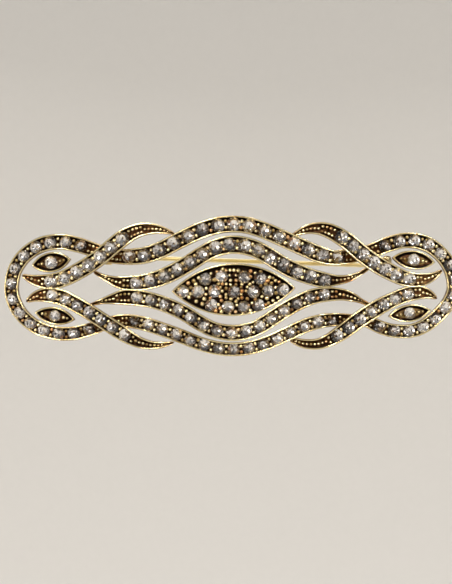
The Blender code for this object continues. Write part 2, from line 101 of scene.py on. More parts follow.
def turned(radius, height, spokes):
    """A profile turned about the upright axis: (radius cos a, radius sin a, height) at even angles a."""
    angle = np.arange(spokes) * math.tau / spokes
    return np.stack([radius[:, None] * np.cos(angle), radius[:, None] * np.sin(angle),
                     np.repeat(height[:, None], spokes, 1)], -1).reshape(-1, 3)


def ring_quads(rings, spokes, flipped=False):
    """Faces between neighbouring rings of points, each ring closed on itself: corners (i, j), (i + 1, j),
    (i + 1, j + 1), (i, j + 1), with j + 1 counted round the ring, or the other way round when flipped."""
    i, j = np.meshgrid(np.arange(rings - 1), np.arange(spokes), indexing="ij")
    k = (j + 1) % spokes
    a, b, c, d = i * spokes + j, (i + 1) * spokes + j, (i + 1) * spokes + k, i * spokes + k
    return np.stack([a, d, c, b] if flipped else [a, b, c, d], -1).reshape(-1, 4)


def cove():
    """The cove's profile, turned: a flat floor, a quarter circle of radius COVE_BEND, an upright wall."""
    bend = np.linspace(0, math.pi / 2, COVE_BEND_STEPS)
    radius = np.concatenate([[0.0], COVE_RADIUS - COVE_BEND + COVE_BEND * np.sin(bend), [COVE_RADIUS]])
    height = COVE_FLOOR + np.concatenate([[0.0], COVE_BEND * (1 - np.cos(bend)), [COVE_HEIGHT]])
    return turned(radius, height, COVE_SPOKES), ring_quads(len(radius), COVE_SPOKES).tolist()


points, faces = cove()
cove_mesh = bpy.data.meshes.new("cove")
cove_mesh.from_pydata(points.tolist(), [], faces)
cove_mesh.shade_smooth()
cove_mesh.materials.append(matt_board())
cove_object = bpy.data.objects.new("cove", cove_mesh)
bpy.context.scene.collection.objects.link(cove_object)

for number, (place, width, height, watts, colour) in enumerate(LAMPS):
    lamp = bpy.data.lights.new(f"soft_lamp_{number + 1}", "AREA")
    lamp.shape, lamp.size, lamp.size_y = "RECTANGLE", width, height
    lamp.energy, lamp.color = watts, linear(colour)[:3]
    stand = bpy.data.objects.new(lamp.name, lamp)
    stand.location = place
    stand.rotation_euler = (AIM - Vector(place)).to_track_quat("-Z", "Y").to_euler()
    bpy.context.scene.collection.objects.link(stand)

world = bpy.data.worlds.new("room")
world.use_nodes = True
world.node_tree.nodes["Background"].inputs["Color"].default_value = linear(ROOM_LIGHT)
world.node_tree.nodes["Background"].inputs["Strength"].default_value = ROOM_STRENGTH
bpy.context.scene.world = world
bpy.context.scene.view_settings.view_transform = "Standard"

camera = bpy.data.cameras.new("camera")
camera.lens, camera.sensor_width, camera.clip_start = LENS, FILM_WIDTH, NEAREST_SEEN
tripod = bpy.data.objects.new("camera", camera)
tripod.location = (AIM.x, -CAMERA_DISTANCE, AIM.z)
tripod.rotation_euler = (math.pi / 2, 0, 0)
bpy.context.scene.collection.objects.link(tripod)
bpy.context.scene.camera = tripod


# ---- Channel bands
# Ten strips of cast brass, plated in antique gold and bent together to a shallow bow. Each has
# two thin rounded rims, rubbed bright with a painted highlight along their tops and painted shade down
# their sides, and a sunk floor that keeps the dark of the antiquing.

BOW_RADIUS, BACK_STANDOFF, WIRE_V = 240.0, 3.0, 5.96    # all sizes from here on are in millimetres
BAND_THICKNESS, FLOOR_HEIGHT, RIM_RADIUS = 1.7, 0.7, 0.16
STATION_STEP, CURVE_STEPS, NOSE_LENGTH = 0.35, 40, 0.45
BRIGHT_GOLD = "#e4d3a0"    # rims and beads rubbed back to the plating, and the painted highlight on the rims' tops
WORN_GOLD = "#a08650"      # plating under a thin brown film
BROWN_FILM_AND_SHADE = "#6c4a31"     # a thicker film, where the antiquing thins out towards the walls, and painted shade on the walls and rims' sides
ANTIQUING = "#281c14"      # the dark brown left in every recess
BARE_BRASS = "#b87a44"     # brass showing red through thin plating
RECESS_ROUGHNESS, RUBBED_ROUGHNESS = 0.5, 0.17
TARNISH_MM, BLOTCH_MM = 7.0, 0.8          # width of the broad dull areas, and of the small worn spots
TARNISH_GAIN, TARNISH_SHIFT, BLOTCH_GAIN, BLOTCH_SHIFT = 1.1, -0.6, 0.9, -0.47
DENT_MM, DENT_DEPTH_MM = 0.14, 0.03       # cast pitting
TIP_BLUSH, TIP_BLUSH_REACH = 0.5, 2.2     # the plating is thin on the bands' tips
RED_PATCH, RED_PATCH_SIZE, RED_PATCH_BLUSH = (23.2, 1.8), (1.6, 0.7), 0.8    # on the upper inner wave

ROUTES = {  # (u, v, width, lift) along each band; a negative lift takes it behind its neighbour
    "left_loop": [
        (-25.6, 7.35, 2.6, -1.05), (-27.4, 7.9, 2.8, -1.05), (-29.2, 8.45, 3.0, -0.9),
        (-31.2, 9.05, 3.1, -0.4), (-34.6, 9.65, 3.1, 0), (-38.4, 9.15, 3.1, 0),
        (-41.8, 7.15, 3.0, 0), (-44.0, 4.15, 2.9, 0), (-44.75, 0.6, 2.85, 0),
        (-44.2, -2.4, 2.85, 0), (-42.45, -5.2, 2.8, 0), (-39.35, -7.55, 2.8, 0),
        (-35.6, -8.65, 2.75, 0), (-32.2, -8.7, 2.75, -0.1), (-29.8, -8.2, 2.7, -0.5),
        (-27.6, -7.5, 2.6, -1.05), (-25.7, -6.75, 2.5, -1.05)],
    "right_loop": [
        (25.4, 7.2, 2.6, -1.05), (27.2, 7.7, 2.8, -1.05), (29.0, 8.35, 3.0, -0.9),
        (31.2, 9.2, 3.1, -0.4), (34.6, 9.95, 3.1, 0), (38.4, 9.4, 3.1, 0),
        (41.6, 7.35, 3.0, 0), (43.75, 4.3, 2.9, 0), (44.5, 0.8, 2.8, 0),
        (43.7, -2.0, 2.8, 0), (41.85, -4.45, 2.8, 0), (38.95, -6.85, 2.8, 0),
        (35.8, -8.15, 2.75, 0), (32.4, -8.2, 2.75, -0.1), (29.8, -7.6, 2.7, -0.5),
        (27.4, -6.5, 2.6, -1.05), (25.6, -5.6, 2.5, -1.05)],
    "upper_left_cross": [
        (-42.55, 3.0, 0.6, 0), (-40.6, 2.2, 1.8, 0), (-38.5, 1.75, 2.7, 0),
        (-36.5, 1.7, 3.2, 0), (-34.3, 2.2, 3.25, 0.1), (-31.9, 3.25, 3.35, 0.4),
        (-28.8, 5.0, 3.35, 0.75), (-26.25, 6.8, 3.35, 0.8), (-24.1, 8.6, 3.35, 0.8),
        (-22.3, 10.05, 3.3, 0.68), (-20.4, 11.25, 3.0, 0.3), (-18.3, 12.0, 2.6, 0),
        (-16.1, 12.15, 2.1, 0), (-14.2, 11.9, 1.5, 0), (-12.6, 11.45, 0.9, 0), (-11.7, 11.1, 0.5, 0)],
    "upper_right_cross": [
        (42.0, 4.0, 0.5, 0), (40.2, 2.8, 1.6, 0), (38.3, 2.15, 2.5, 0),
        (36.4, 1.98, 2.95, 0), (34.2, 2.35, 3.15, 0.1), (31.9, 3.3, 3.3, 0.4),
        (28.9, 4.85, 3.4, 0.75), (26.2, 6.65, 3.4, 0.8), (24.1, 8.4, 3.4, 0.8),
        (22.3, 9.85, 3.35, 0.68), (20.4, 11.1, 3.2, 0.3), (18.3, 12.0, 2.85, 0),
        (16.2, 12.25, 2.3, 0), (14.3, 11.95, 1.7, -0.1), (12.7, 11.3, 1.1, -0.3), (11.6, 10.8, 0.6, -0.4)],
    "lower_left_cross": [
        (-41.7, -2.35, 0.6, 0), (-39.9, -1.4, 2.0, 0), (-38.0, -1.0, 2.85, 0),
        (-36.3, -1.1, 3.15, 0), (-34.3, -1.55, 3.2, 0.1), (-32.1, -2.55, 3.05, 0.4),
        (-29.3, -4.05, 3.05, 0.75), (-26.8, -5.6, 3.05, 0.8), (-24.3, -7.2, 3.05, 0.8),
        (-22.2, -8.55, 3.0, 0.68), (-20.4, -9.65, 2.6, 0.3), (-18.5, -10.5, 2.2, 0),
        (-16.5, -10.95, 1.75, 0), (-14.6, -10.95, 1.3, 0), (-13.0, -10.7, 0.85, 0),
        (-11.8, -10.35, 0.5, 0)],
    "lower_right_cross": [
        (40.95, -1.75, 0.5, 0), (39.3, -0.85, 1.85, 0), (37.6, -0.5, 2.7, 0),
        (36.0, -0.62, 3.0, 0), (34.3, -1.0, 3.05, 0.1), (32.1, -1.85, 3.0, 0.4),
        (29.4, -3.15, 3.2, 0.75), (26.9, -4.65, 3.25, 0.8), (24.5, -6.25, 3.25, 0.8),
        (22.45, -7.75, 3.15, 0.68), (20.6, -9.05, 2.95, 0.3), (18.6, -10.15, 2.5, 0),
        (16.6, -10.75, 2.15, 0), (14.6, -10.75, 1.95, -0.1), (12.9, -10.4, 1.6, -0.3),
        (11.2, -9.75, 1.0, -0.4)],
    "upper_outer_wave": [
        (-25.2, 6.95, 3.0, -1.05), (-23.4, 6.7, 3.0, -1.05), (-21.8, 6.6, 3.1, -0.75),
        (-20.0, 6.65, 3.25, -0.35), (-17.4, 6.95, 3.3, 0), (-14.4, 8.0, 3.3, 0),
        (-10.6, 9.9, 3.3, 0), (-6.6, 11.75, 3.3, 0), (-3.0, 12.8, 3.3, 0), (0, 13.05, 3.3, 0),
        (3.0, 12.75, 3.3, 0), (6.6, 11.6, 3.3, 0), (10.6, 9.85, 3.3, 0),
        (14.4, 8.15, 3.3, 0), (17.4, 6.95, 3.3, 0), (20.0, 6.4, 3.0, -0.35),
        (21.8, 6.55, 3.0, -0.75), (23.4, 6.65, 2.8, -1.05), (24.8, 6.95, 2.6, -1.05)],
    "lower_outer_wave": [
        (-25.1, -6.5, 2.4, -1.05), (-23.4, -6.2, 2.4, -1.05), (-21.8, -6.15, 2.6, -1.1),
        (-20.0, -6.3, 2.75, -0.8), (-17.4, -6.8, 2.8, 0), (-14.4, -7.75, 2.8, 0),
        (-10.6, -9.1, 2.8, 0), (-6.6, -10.65, 2.75, 0), (-3.0, -11.55, 2.7, 0), (0, -11.75, 2.7, 0),
        (3.0, -11.5, 2.7, 0), (6.6, -10.5, 2.75, 0), (10.6, -8.75, 2.8, 0),
        (14.4, -7.05, 2.8, 0), (17.4, -6.2, 2.8, -0.15), (20.0, -5.95, 2.7, -1.0),
        (21.8, -5.9, 2.5, -1.15), (23.4, -6.0, 2.4, -1.15), (25.0, -6.25, 2.3, -1.15)],
    "upper_inner_wave": [
        (-28.0, 3.7, 0.7, -1.05), (-26.8, 3.0, 0.9, -1.0), (-25.2, 2.3, 1.4, -0.4),
        (-23.2, 1.6, 2.3, 0), (-21.0, 1.35, 2.9, 0), (-18.4, 1.45, 3.15, 0), (-15.4, 2.1, 3.3, 0),
        (-12.2, 3.4, 3.4, 0), (-9.2, 5.05, 3.4, 0), (-6.4, 6.85, 3.4, 0),
        (-3.6, 8.3, 3.5, 0), (0, 9.0, 3.6, 0), (3.6, 8.4, 3.5, 0), (6.4, 7.05, 3.4, 0),
        (9.2, 5.3, 3.4, 0), (12.2, 3.75, 3.4, 0), (15.4, 2.6, 3.25, 0), (18.0, 2.0, 3.1, 0),
        (20.6, 1.95, 2.1, 0), (23.0, 2.35, 1.5, 0), (25.0, 3.15, 1.0, -0.6),
        (26.4, 3.95, 0.8, -1.05), (27.3, 4.6, 0.7, -1.05)],
    "lower_inner_wave": [
        (-28.8, -3.0, 0.6, -1.05), (-27.6, -2.65, 0.8, -1.0), (-26.0, -2.2, 1.3, -0.4),
        (-24.0, -1.78, 2.2, 0), (-21.8, -1.45, 3.1, 0), (-19.0, -1.58, 3.25, 0),
        (-16.0, -2.12, 3.1, 0), (-12.8, -3.2, 3.05, 0), (-9.6, -4.7, 3.1, 0),
        (-6.8, -6.45, 3.1, 0), (-3.8, -7.9, 3.1, 0), (0, -8.5, 3.2, 0), (3.8, -7.85, 3.1, 0),
        (6.8, -6.2, 3.1, 0), (9.6, -4.35, 3.1, 0), (12.8, -2.55, 3.05, 0), (16.0, -1.25, 3.1, 0),
        (18.8, -0.85, 2.9, 0), (21.6, -0.92, 2.4, 0), (23.8, -1.5, 1.8, 0),
        (25.4, -2.15, 1.1, -0.6), (26.8, -2.8, 0.8, -1.05), (27.8, -3.3, 0.6, -1.05)],
}


def bent(points):
    """Millimetres on the flat face, (u right, v up, w out), to metres: y = u^2 / 2R - w - standoff."""
    u, v, w = np.moveaxis(np.asarray(points, float), -1, 0)
    return np.stack([u, u * u / (2 * BOW_RADIUS) - w - BACK_STANDOFF, v - WIRE_V], -1) * MM


def antiqued_gold():
    """Cast brass, gold plated, antiqued in brown and rubbed: bright and smooth where it is worn and where a
    highlight is painted on the rims' tops, brown and dull in the recesses and where shade is painted down
    the rims' sides, reddish where the plating is thin. The bright share of a spot is its wear and sheen +
    (BLOTCH_GAIN * blotch + BLOTCH_SHIFT) + (TARNISH_GAIN * tarnish + TARNISH_SHIFT), kept within 0 to 1."""
    made, tree, shader, where = new_material("antiqued_gold_plate")
    # This attribute is real wear and antiquing, and on the rims also a painted highlight on top and painted
    # shade on the sides
    wear = node(tree, "ShaderNodeAttribute", attribute_name="wear").outputs["Fac"]
    blush = node(tree, "ShaderNodeAttribute", attribute_name="blush").outputs["Fac"]
    blotch = node(tree, "ShaderNodeTexNoise", {"Vector": where},
                  {"Scale": 1 / (BLOTCH_MM * MM), "Detail": 4.0})
    shift = node(tree, "ShaderNodeMath", {0: blotch.outputs["Fac"]},
                 {1: BLOTCH_GAIN, 2: BLOTCH_SHIFT}, operation="MULTIPLY_ADD")
    spotted = node(tree, "ShaderNodeMath", {0: wear, 1: shift.outputs[0]}, operation="ADD").outputs[0]
    tarnish = node(tree, "ShaderNodeTexNoise", {"Vector": where},
                   {"Scale": 1 / (TARNISH_MM * MM), "Detail": 2.0})
    duller = node(tree, "ShaderNodeMath", {0: tarnish.outputs["Fac"]},
                  {1: TARNISH_GAIN, 2: TARNISH_SHIFT}, operation="MULTIPLY_ADD")
    bright_share = node(tree, "ShaderNodeMath", {0: spotted, 1: duller.outputs[0]},
                operation="ADD", use_clamp=True).outputs[0]
    ramp = node(tree, "ShaderNodeValToRGB", {"Fac": bright_share})
    stops = ramp.color_ramp.elements
    stops[0].position, stops[0].color = 0.12, linear(ANTIQUING)
    stops[1].position, stops[1].color = 0.9, linear(BRIGHT_GOLD)
    for position, colour in ((0.36, BROWN_FILM_AND_SHADE), (0.6, WORN_GOLD)):
        stops.new(position).color = linear(colour)
    reddened = node(tree, "ShaderNodeMix", {"Factor": blush, "A": ramp.outputs["Color"]},
                    {"B": linear(BARE_BRASS)}, data_type="RGBA", blend_type="MIX")
    tree.links.new(reddened.outputs["Result"], shader.inputs["Base Color"])
    rough = node(tree, "ShaderNodeMapRange", {"Value": bright_share},
                 {"To Min": RECESS_ROUGHNESS, "To Max": RUBBED_ROUGHNESS})
    tree.links.new(rough.outputs["Result"], shader.inputs["Roughness"])
    shader.inputs["Metallic"].default_value = 1.0
    dent = node(tree, "ShaderNodeTexNoise", {"Vector": where}, {"Scale": 1 / (DENT_MM * MM), "Detail": 3.0})
    bump = node(tree, "ShaderNodeBump", {"Height": dent.outputs["Fac"]},
                {"Strength": 0.3, "Distance": DENT_DEPTH_MM * MM})
    tree.links.new(bump.outputs["Normal"], shader.inputs["Normal"])
    return made


def add_piece(name, points, faces, body, replaced, materials, smooth=True, picks=None,
              point_values=None, face_values=None):
    """Arrays of points and faces made into one piece that rides on a body of the frame. Picks gives each
    face's material, and the values are attributes that the materials read."""
    mesh = bpy.data.meshes.new(name)
    mesh.from_pydata(np.asarray(points).tolist(), [], faces)
    for domain, values in (("POINT", point_values or {}), ("FACE", face_values or {})):
        for key, numbers in values.items():
            attribute = mesh.attributes.new(key, "FLOAT", domain)
            attribute.data.foreach_set("value", np.asarray(numbers, np.float32))
    for material in materials:
        mesh.materials.append(material)
    if picks is not None:
        mesh.polygons.foreach_set("material_index", np.asarray(picks, np.int32))
    mesh.polygons.foreach_set("use_smooth", np.full(len(mesh.polygons), smooth))
    mesh.update()
    piece = bpy.data.objects.new(name, mesh)
    bpy.context.scene.collection.objects.link(piece)
    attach(piece, body)
    if replaced:
        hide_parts(*replaced)


def stations(route, step):
    """Rows of (u, v, width, lift) at even steps on the curve through the route's points, their distances,
    and the unit vectors across the band. The curve between two points is a cubic in t whose slope at
    each point is half the step between that point's neighbours."""
    p = np.array(route, float)
    p = np.vstack([2 * p[0] - p[1], p, 2 * p[-1] - p[-2]])
    t = np.linspace(0, 1, CURVE_STEPS, endpoint=False)[None, :, None]
    a, b, c, d = (p[i:len(p) - 3 + i, None] for i in range(4))
    fine = 0.5 * (2 * b + (c - a) * t + (2 * a - 5 * b + 4 * c - d) * t ** 2
                  + (3 * b - a - 3 * c + d) * t ** 3)
    fine = np.vstack([fine.reshape(-1, 4), p[-2]])
    along = np.concatenate([[0], np.cumsum(np.linalg.norm(np.diff(fine[:, :2], axis=0), axis=1))])
    at = np.linspace(0, along[-1], int(along[-1] / step) + 1)
    rows = np.stack([np.interp(at, along, fine[:, k]) for k in range(4)], 1)
    run = np.gradient(rows[:, :2], axis=0)
    run /= np.linalg.norm(run, axis=1)[:, None]
    return rows, at, np.stack([-run[:, 1], run[:, 0]], 1)


def half_profile():
    """Half of a channel's outline, from its back, up the wall, over the rim and down to the floor, as rows
    of (inset from the edge, height, wear and sheen). The rim is a half circle of RIM_RADIUS on a thin wall,
    and its value is 0.4 + 0.65 sin^0.8 of the angle round it: real rubbing, and also a painted highlight
    along its top and painted shade down its sides. The flat back is rubbed bright all over."""
    r, top = RIM_RADIUS, BAND_THICKNESS
    angle = np.linspace(math.pi, 0, 9)
    # Rim values: real rubbing, and also a painted highlight along the top and painted shade down the sides
    rim_sheen_and_wear = 0.4 + 0.65 * np.sin(angle) ** 0.8
    rim = np.stack([r + r * np.cos(angle), top - r + r * np.sin(angle), rim_sheen_and_wear], 1)
    # The outer wall's values from 0.58 down to 0.44 are partly painted shade
    return np.vstack([
        [(0.5, 0.0, 1.0), (0.12, 0.0, 1.0), (0.035, 0.035, 1.1), (0.0, 0.12, 0.9), (0.0, 0.32, 0.58),
         (0.0, 0.8, 0.46), (0.015, top - 0.5, 0.44), (0.0, top - 0.3, 0.5)],
        rim,
        [(2 * r + 0.01, top - 0.32, 0.3), (2 * r + 0.02, FLOOR_HEIGHT + 0.25, 0.08),
         (2 * r + 0.06, FLOOR_HEIGHT + 0.06, 0.08), (2 * r + 0.18, FLOOR_HEIGHT, 0.24)],
    ])


def channel(route):
    """The outline carried along its route: point = route + inset outline across it + height out of the
    face. Rims squeeze together where the band narrows. Over NOSE_LENGTH its ends round off as quarter
    ellipses, and their height sinks to 0.8 of the band's."""
    rows, at, across = stations(route, STATION_STEP)
    nose = np.clip(np.minimum(at, at[-1] - at) / NOSE_LENGTH, 0, 1)
    half = rows[:, 2] / 2 * np.sqrt(np.clip(1 - (1 - nose) ** 2, 0.04, 1))
    inset, height, wear = half_profile().T
    squeeze = np.minimum(1, half / (inset.max() + 0.02))[:, None]
    left = inset * squeeze - half[:, None]
    side = np.concatenate([left, -left[:, ::-1]], 1)
    high = np.concatenate([height, height[::-1]])[None] * (0.8 + 0.2 * nose[:, None]) + rows[:, 3:4]
    flat = rows[:, None, :2] + side[..., None] * across[:, None]
    s, p = high.shape
    ends = [list(range(p)), list(range((s - 1) * p, s * p))[::-1]]
    points = np.concatenate([flat, high[..., None]], 2).reshape(-1, 3)
    return points, ring_quads(s, p).tolist() + ends, np.tile(np.concatenate([wear, wear[::-1]]), s)


def thin_plating(route, points, has_patch):
    """How red each point is: TIP_BLUSH * exp(-distance to the nearer tip / TIP_BLUSH_REACH), and on one
    band a rubbed patch of RED_PATCH_BLUSH * exp(-x^2 - y^2), x and y counted in patch sizes."""
    tips = np.array(route)[[0, -1], :2]
    to_tip = np.linalg.norm(points[:, None, :2] - tips, axis=2).min(1)
    x, y = ((points[:, k] - RED_PATCH[k]) / RED_PATCH_SIZE[k] for k in (0, 1))
    patch = RED_PATCH_BLUSH * np.exp(-x ** 2 - y ** 2) * has_patch
    return TIP_BLUSH * np.exp(-to_tip / TIP_BLUSH_REACH) + patch


GOLD = antiqued_gold()
for name, route in ROUTES.items():
    points, faces, wear = channel(route)
    blush = thin_plating(route, points, name == "upper_inner_wave")
    add_piece(name + "_channel", bent(points), faces, "frame", [name + "_band"], [GOLD],
              point_values={"wear": wear, "blush": blush})


# ---- Stones of the bands
# Round foiled glass stones, 2.4 to 2.8 mm across, in one row along each band. Each is a cut crown
# of clear glass on a silvered pavilion, so its facets flash grey, white and faintly pink; each facet's foil
# is also painted its own brightness, a painted glint.

ROWS = {  # stones in the row, distance from each end of the route to the end stones, radius
    "left_loop": (14, 5.2, 3.4, 1.26), "right_loop": (14, 5.2, 4.0, 1.26),
    "upper_left_cross": (7, 6.2, 11.0, 1.39), "upper_right_cross": (7, 7.3, 10.5, 1.39),
    "lower_left_cross": (7, 5.7, 10.3, 1.23), "lower_right_cross": (7, 6.3, 9.9, 1.26),
    "upper_outer_wave": (15, 4.4, 4.0, 1.39), "lower_outer_wave": (15, 5.3, 5.3, 1.22),
    "upper_inner_wave": (15, 9.2, 9.9, 1.4), "lower_inner_wave": (15, 9.8, 10.3, 1.26),
}
CLOSE_STEP = 0.1         # between stations when stones and grains are set out
STONE_GIRDLE = 1.5       # height of the girdle above the band's back
# (radius, height) of each ring of corners of a stone of radius 1
TABLE, STARS, GIRDLE = (0.54, 0.46), (0.8, 0.25), (1, 0)
UNDER_GIRDLE, UNDER_STARS, CULET = (1, -0.08), (0.42, -0.41), (0, -0.62)
# Each facet's foil is painted between the dim and the bright foil colour: painted glints, over real spots
# in the foil
GLASS, FOIL_BRIGHT, FOIL_DIM = "#fbfbfa", "#f6f3f0", "#6e6866"
GRIME_MM = 0.5           # handling film and spotted foil, drawn coarse enough to show
STONE_TONES, FACET_GLINTS = (0.2, 0.85), (-0.4, 0.4)      # 0 is dim foil and 1 is bright; a facet's own share is a painted glint
BRIGHTER_LEFT, BRIGHTER_RIGHT, BRIGHTER_FROM, BRIGHTER_OVER = 0.35, 0.6, 26, 12    # foil is brighter towards the band ends
STONE_TIPPING = 0.06


def cut_glass():
    """Clear cut glass, polished: mirror-smooth facets with a faint film of handling in spots."""
    made, tree, shader, where = new_material("cut_glass")
    shader.inputs["Transmission Weight"].default_value = 1.0
    shader.inputs["IOR"].default_value = 1.54
    shader.inputs["Base Color"].default_value = linear(GLASS)
    film = node(tree, "ShaderNodeTexNoise", {"Vector": where},
                {"Scale": 1 / (GRIME_MM * MM), "Detail": 3.0})
    rough = node(tree, "ShaderNodeMapRange", {"Value": film.outputs["Fac"]},
                 {"From Min": 0.45, "To Min": 0.01, "To Max": 0.09})
    tree.links.new(rough.outputs["Result"], shader.inputs["Roughness"])
    return made


def silver_foil():
    """The silvering behind the glass: a mirror, each facet painted its own tone, a painted glint over the
    stone's own foil tone. The mix from dim to bright foil is 0.3 * spots + tone."""
    made, tree, shader, where = new_material("silver_foil")
    tone = node(tree, "ShaderNodeAttribute", attribute_name="tone").outputs["Fac"]
    spots = node(tree, "ShaderNodeTexNoise", {"Vector": where},
                 {"Scale": 1 / (GRIME_MM * MM), "Detail": 3.0})
    both = node(tree, "ShaderNodeMath", {0: spots.outputs["Fac"], 2: tone}, {1: 0.3},
                operation="MULTIPLY_ADD")
    mix = node(tree, "ShaderNodeMix", {"Factor": both.outputs[0]},
               {"A": linear(FOIL_DIM), "B": linear(FOIL_BRIGHT)},
               data_type="RGBA", blend_type="MIX", clamp_factor=True)
    tree.links.new(mix.outputs["Result"], shader.inputs["Base Color"])
    shader.inputs["Metallic"].default_value = 1.0
    shader.inputs["Roughness"].default_value = 0.08
    return made


def brilliant():
    """A round brilliant of radius 1 about its girdle: an eight-sided table, 8 stars, 8 kites and 16
    triangles down to the girdle, and 16 triangles and 8 kites under it, as points, crown, pavilion."""
    def ring(place, count, turn=0.0):
        """Corners at (radius cos a, radius sin a, height), a in even steps from a share of one step."""
        radius, height = place
        angle = (np.arange(count) + turn) * math.tau / count
        return np.stack([radius * np.cos(angle), radius * np.sin(angle), np.full(count, height)], 1)

    points = np.vstack([ring(TABLE, 8), ring(STARS, 8, 0.5), ring(GIRDLE, 16), ring(UNDER_GIRDLE, 16),
                        ring(UNDER_STARS, 8, 0.5), ring(CULET, 1)])
    i, j = np.arange(8), np.arange(16)
    n, before, after, on = (i + 1) % 8, (i - 1) % 8, (2 * i + 2) % 16, (j + 1) % 16
    crown = [np.stack([i, 8 + i, n], 1), np.stack([i, 8 + before, 16 + 2 * i, 8 + i], 1),
             np.stack([8 + i, 16 + 2 * i, 17 + 2 * i], 1), np.stack([8 + i, 17 + 2 * i, 16 + after], 1),
             np.stack([16 + j, 32 + j, 32 + on, 16 + on], 1)]
    under = [np.stack([32 + 2 * i, 48 + i, 33 + 2 * i], 1), np.stack([33 + 2 * i, 48 + i, 32 + after], 1),
             np.stack([32 + 2 * i, 48 + before, np.full(8, 56), 48 + i], 1)]
    return points, [np.arange(8)[None]] + crown, under


def copies(points, faces, centres, radii, turns, leans, stretch=1.0):
    """One shape set down many times: turned by its angle, scaled by its radius, then sheared so that its
    height leans by (a, b): w = w0 + r z + a x + b y. Stretch lengthens it along its own first axis. Given
    back are the points, the faces, and each face's kind (its group) and owner (its copy)."""
    c, s = np.cos(turns)[:, None], np.sin(turns)[:, None]
    r = radii[:, None]
    x, y, z = (points[:, k][None] * r for k in range(3))
    x = x * stretch
    across, up = x * c - y * s, x * s + y * c
    out = z + leans[:, :1] * across + leans[:, 1:] * up
    placed = centres[:, None] + np.stack([across, up, out], -1)
    offsets = np.arange(len(centres))[:, None, None] * len(points)
    made = []
    for group in faces:
        made += (group[None] + offsets).reshape(-1, group.shape[1]).tolist()
    kind = np.concatenate([np.full(len(group) * len(centres), g) for g, group in enumerate(faces)])
    owner = np.concatenate([np.repeat(np.arange(len(centres)), len(group)) for group in faces])
    return placed.reshape(-1, 3), made, kind, owner


def row_points(route, distances):
    """(u, v, width, lift), the unit vector across and the angle of the route at the distances, each read
    in a straight line between close stations, and the route's length."""
    rows, at, across = stations(route, CLOSE_STEP)
    here = np.stack([np.interp(distances, at, rows[:, k]) for k in range(4)], 1)
    side = np.stack([np.interp(distances, at, across[:, k]) for k in range(2)], 1)
    return here, side, np.arctan2(-side[:, 0], side[:, 1]), at[-1]


def set_stones(name, centres, radii, replaced, seed):
    """Stones at (u, v, girdle height), each turned and tipped a little by hand. A facet's tone is its
    stone's tone + a brightening that grows from 0 at BRIGHTER_FROM over BRIGHTER_OVER towards the ends
    + the facet's own share, a painted glint."""
    luck = np.random.default_rng(seed)
    points, crown, pavilion = brilliant()
    count = len(centres)
    centres, radii = np.asarray(centres, float), np.asarray(radii, float)
    turns = luck.uniform(0, math.tau, count)
    leans = luck.normal(0, STONE_TIPPING, (count, 2))
    placed, made, kind, owner = copies(points, crown + pavilion, centres, radii, turns, leans)
    u = centres[:, 0]
    # The foil is made brighter towards the ends of the bands
    near_end = np.clip((np.abs(u) - BRIGHTER_FROM) / BRIGHTER_OVER, 0, 1)
    brighter_ends = np.where(u > 0, BRIGHTER_RIGHT, BRIGHTER_LEFT) * near_end
    # A facet's own random share on top of its stone's tone is a painted glint
    tone = (luck.uniform(*STONE_TONES, count) + brighter_ends)[owner] + luck.uniform(*FACET_GLINTS, len(made))
    add_piece(name, bent(placed), made, "frame", replaced, [CUT_GLASS, FOIL], smooth=False,
              picks=kind >= len(crown), face_values={"tone": tone})


CUT_GLASS, FOIL = cut_glass(), silver_foil()
for seed, (name, (count, start, end, radius)) in enumerate(ROWS.items()):
    length = row_points(ROUTES[name], [0.0])[3]
    here = row_points(ROUTES[name], np.linspace(start, length - end, count))[0]
    centres = np.column_stack([here[:, :2], here[:, 3] + STONE_GIRDLE])
    set_stones(name + "_brilliants", centres, np.full(count, radius), [name + "_stones"], seed)


# ---- Beads of the bands
# Little cast grains of the band itself. A pair in each gap holds the two stones beside it, and one
# or two rows of smaller and smaller grains fill each narrowing end. They are rubbed bright on top.

USUAL_STONE = 1.2         # the stone's radius that the next two belong to
BEAD_RADIUS, BEAD_SPREAD = 0.33, 0.56
BEAD_TOP, BEAD_STRETCH = 1.85, 1.12
FILLER_GAP = 0.4          # from the last stone's edge to the first grain
FILLER_SPACING = 1.3      # grain to grain, in grain diameters
FILLER_TOP, FILLER_BIGGEST, FILLER_SMALLEST = 1.45, 0.3, 0.1
TWO_ROWS_FROM = 1.9       # a channel at least this wide inside takes two rows of grains
GRAIN_SPOKES = 10
GRAIN_SIZES, GRAIN_TIPPING = (0.9, 1.1), 0.04
GRAIN_RUBBING, GRAIN_BLUSH = (0.68, 1.1), (0.35, 0.8)


def grain():
    """A round-topped post of radius 1: a stem of depth 3 under a dome, r = cos a, z = sin a. Its wear
    grows from none at the foot to full on top."""
    lift = np.radians([0, 28, 52, 74])
    radius = np.concatenate([[0.82, 0.95], np.cos(lift)])
    height = np.concatenate([[-3.0, -0.9], np.sin(lift)])
    n, rings = GRAIN_SPOKES, len(radius)
    points = np.vstack([turned(radius, height, n), [(0, 0, 1.0)]])
    j, top = np.arange(n), (rings - 1) * n
    cap = np.stack([top + j, top + (j + 1) % n, np.full(n, rings * n)], 1)
    wear = np.concatenate([np.repeat([0.0, 0.12, 0.4, 0.78, 1.0, 1.05], n), [1.05]])
    return points, [ring_quads(rings, n, flipped=True), cap, j[::-1][None]], wear


